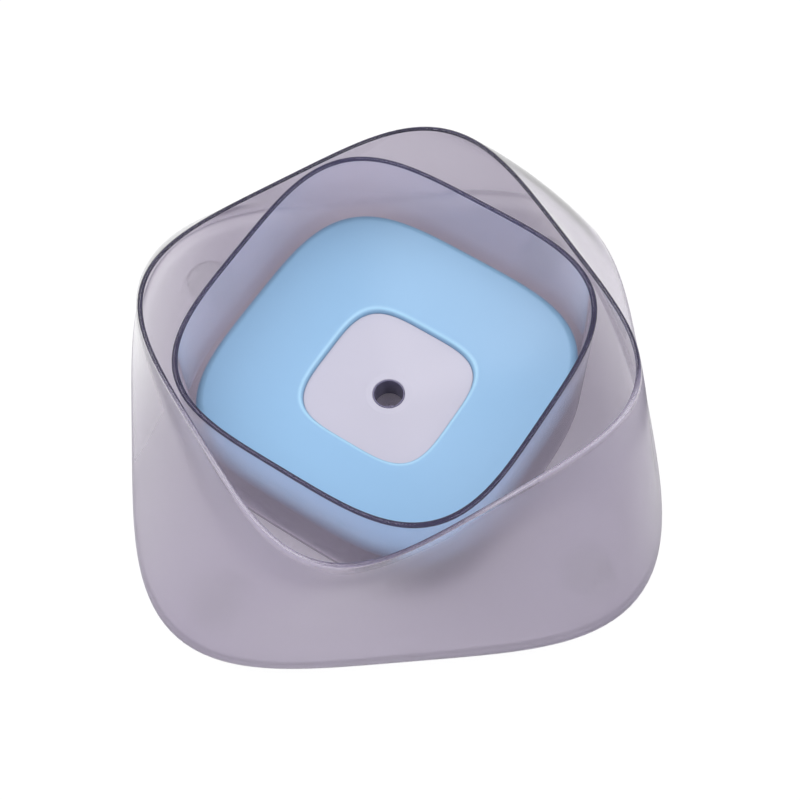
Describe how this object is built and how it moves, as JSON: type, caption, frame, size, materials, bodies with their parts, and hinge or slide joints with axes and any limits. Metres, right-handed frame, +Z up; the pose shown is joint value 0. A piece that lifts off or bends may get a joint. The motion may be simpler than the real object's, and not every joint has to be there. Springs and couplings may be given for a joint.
{
  "type": "floating-disc water bowl",
  "caption": "Anti-spill pet water bowl: twisted soft-square clear shell, turned square cup and a dished float that slides up and down with the water.",
  "frame": {"origin": "middle of the base on the ground, under the foot pads", "axes": "+Z up, the float's sliding axis; X and Y across the base's flats; -Y is the side towards the viewer of the picture"},
  "size_m": [0.2216, 0.2216, 0.0795],
  "materials": {
    "shell": "clear smoky grey, polished",
    "cup": "clear smoky grey, polished",
    "float_blue": "satin light blue",
    "float_white": "satin off-white",
    "float_dark": "dark smoky, moulded",
    "pads": "clear soft bumper, satin"
  },
  "bodies": {
    "bowl": {"outer_shell": "shell", "inner_cup": "cup", "foot_pad_1": "pads", "foot_pad_2": "pads", "foot_pad_3": "pads", "foot_pad_4": "pads"},
    "float": {"float_cover": "float_blue", "float_panel": "float_white", "float_hull": "float_dark"}
  },
  "joints": [
    {"name": "float_rise", "type": "slide", "parent": "bowl", "child": "float", "axis": [0, 0, 1], "range_m": [0, 0.026]}
  ]
}
